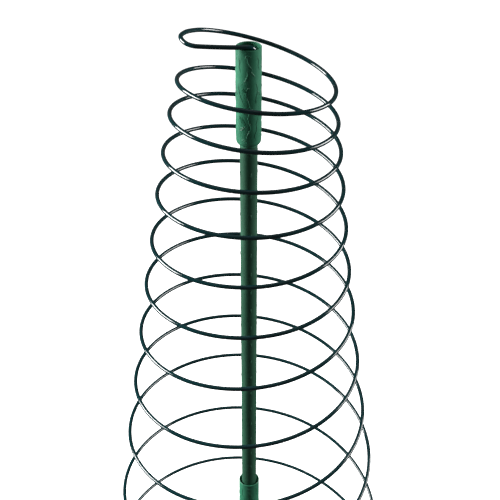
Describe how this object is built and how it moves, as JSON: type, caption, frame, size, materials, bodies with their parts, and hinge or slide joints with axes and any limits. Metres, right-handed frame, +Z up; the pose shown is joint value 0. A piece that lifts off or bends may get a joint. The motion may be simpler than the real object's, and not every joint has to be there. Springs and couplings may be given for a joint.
{
  "type": "garden obelisk",
  "caption": "Conical spiral of coated wire hooked onto a two-section garden stake with relief connectors, pushed into soil to carry a climbing plant.",
  "frame": {"origin": "on the stake's axis where it enters the soil, at the underside of the depth bead", "axes": "+Z up along the stake, -Y towards the viewer, +X to the viewer's right"},
  "size_m": [0.3679, 0.3578, 1.1296],
  "materials": {
    "connector_plastic": "satin green moulded plastic with raised stems",
    "stake_coat": "satin dark green plastic coat",
    "stake_steel": "plain welded steel tube",
    "wire_coat": "gloss green-black plastic-coated steel wire",
    "point_plastic": "satin dark green moulded plastic"
  },
  "bodies": {
    "ground_section": {"lower_stake_tube": "stake_steel", "lower_stake_jacket": "stake_coat", "ground_point": "point_plastic", "lower_connector": "connector_plastic", "spiral_leg": "wire_coat", "spiral_turn_13": "wire_coat"},
    "upper_section": {"top_connector": "connector_plastic", "upper_stake_tube": "stake_steel", "upper_stake_jacket": "stake_coat", "spiral_turn_02": "wire_coat", "spiral_turn_03": "wire_coat", "spiral_turn_04": "wire_coat", "spiral_turn_05": "wire_coat"},
    "spiral_top": {"spiral_hook": "wire_coat", "spiral_turn_01": "wire_coat"},
    "turn_06": {"spiral_turn_06": "wire_coat"},
    "turn_07": {"spiral_turn_07": "wire_coat"},
    "turn_08": {"spiral_turn_08": "wire_coat"},
    "turn_09": {"spiral_turn_09": "wire_coat"},
    "turn_10": {"spiral_turn_10": "wire_coat"},
    "turn_11": {"spiral_turn_11": "wire_coat"},
    "turn_12": {"spiral_turn_12": "wire_coat"}
  },
  "joints": [
    {"name": "upper_section_lift", "type": "slide", "parent": "ground_section", "child": "upper_section", "axis": [0, 0, 1], "range_m": [0, 0.05]},
    {"name": "spiral_unhook", "type": "slide", "parent": "upper_section", "child": "spiral_top", "axis": [0, 0, 1], "range_m": [0, 0.036]},
    {"name": "turn_06_stretch", "type": "slide", "parent": "ground_section", "child": "turn_06", "axis": [0, 0, 1], "range_m": [0, 0.05025]},
    {"name": "turn_07_stretch", "type": "slide", "parent": "ground_section", "child": "turn_07", "axis": [0, 0, 1], "range_m": [0, 0.04855]},
    {"name": "turn_08_stretch", "type": "slide", "parent": "ground_section", "child": "turn_08", "axis": [0, 0, 1], "range_m": [0, 0.04425]},
    {"name": "turn_09_stretch", "type": "slide", "parent": "ground_section", "child": "turn_09", "axis": [0, 0, 1], "range_m": [0, 0.0377]},
    {"name": "turn_10_stretch", "type": "slide", "parent": "ground_section", "child": "turn_10", "axis": [0, 0, 1], "range_m": [0, 0.0299]},
    {"name": "turn_11_stretch", "type": "slide", "parent": "ground_section", "child": "turn_11", "axis": [0, 0, 1], "range_m": [0, 0.01745]},
    {"name": "turn_12_stretch", "type": "slide", "parent": "ground_section", "child": "turn_12", "axis": [0, 0, 1], "range_m": [0, 0.00625]}
  ],
  "couplings": [
    {"joint": "turn_06_stretch", "follows": "upper_section_lift", "ratio": 0.995},
    {"joint": "turn_07_stretch", "follows": "upper_section_lift", "ratio": 0.961},
    {"joint": "turn_08_stretch", "follows": "upper_section_lift", "ratio": 0.875},
    {"joint": "turn_09_stretch", "follows": "upper_section_lift", "ratio": 0.744},
    {"joint": "turn_10_stretch", "follows": "upper_section_lift", "ratio": 0.588},
    {"joint": "turn_11_stretch", "follows": "upper_section_lift", "ratio": 0.339},
    {"joint": "turn_12_stretch", "follows": "upper_section_lift", "ratio": 0.115}
  ]
}
